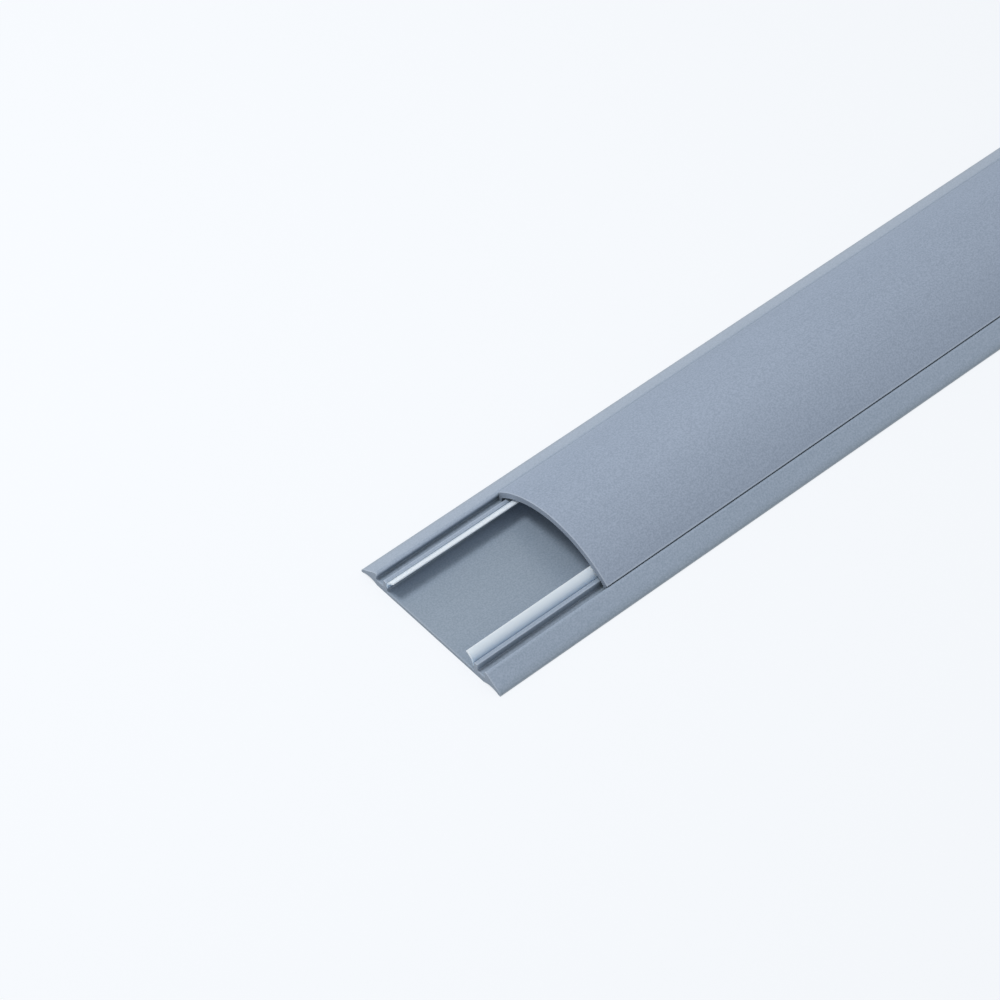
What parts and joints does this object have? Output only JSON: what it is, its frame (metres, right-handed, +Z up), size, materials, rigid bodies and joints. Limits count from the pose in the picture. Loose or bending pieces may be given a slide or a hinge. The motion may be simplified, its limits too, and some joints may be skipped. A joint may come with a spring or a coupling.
{
  "type": "floor cable cover",
  "caption": "Low arched floor cable cover: extruded base with ramped edges and soft cable-holding lips, and a curved cover that slides in the base's grooves.",
  "frame": {"origin": "middle of the base's flat underside, on the floor", "axes": "+X along the length, away from the end where the base is left open, +Y to the left seen from that end, +Z up"},
  "size_m": [1.0536, 0.07, 0.0164],
  "materials": {
    "base_pvc": "satin extruded rigid PVC, blue-grey",
    "cover_pvc": "satin extruded rigid PVC, blue-grey",
    "soft_lip": "milky translucent soft PVC, satin"
  },
  "bodies": {
    "base": {"base": "base_pvc", "retaining_lip_left": "soft_lip", "retaining_lip_right": "soft_lip"},
    "cover": {"cover": "cover_pvc"}
  },
  "joints": [
    {"name": "cover_slide", "type": "slide", "parent": "base", "child": "cover", "axis": [1, 0, 0], "range_m": [-0.0536, 0.4]}
  ]
}
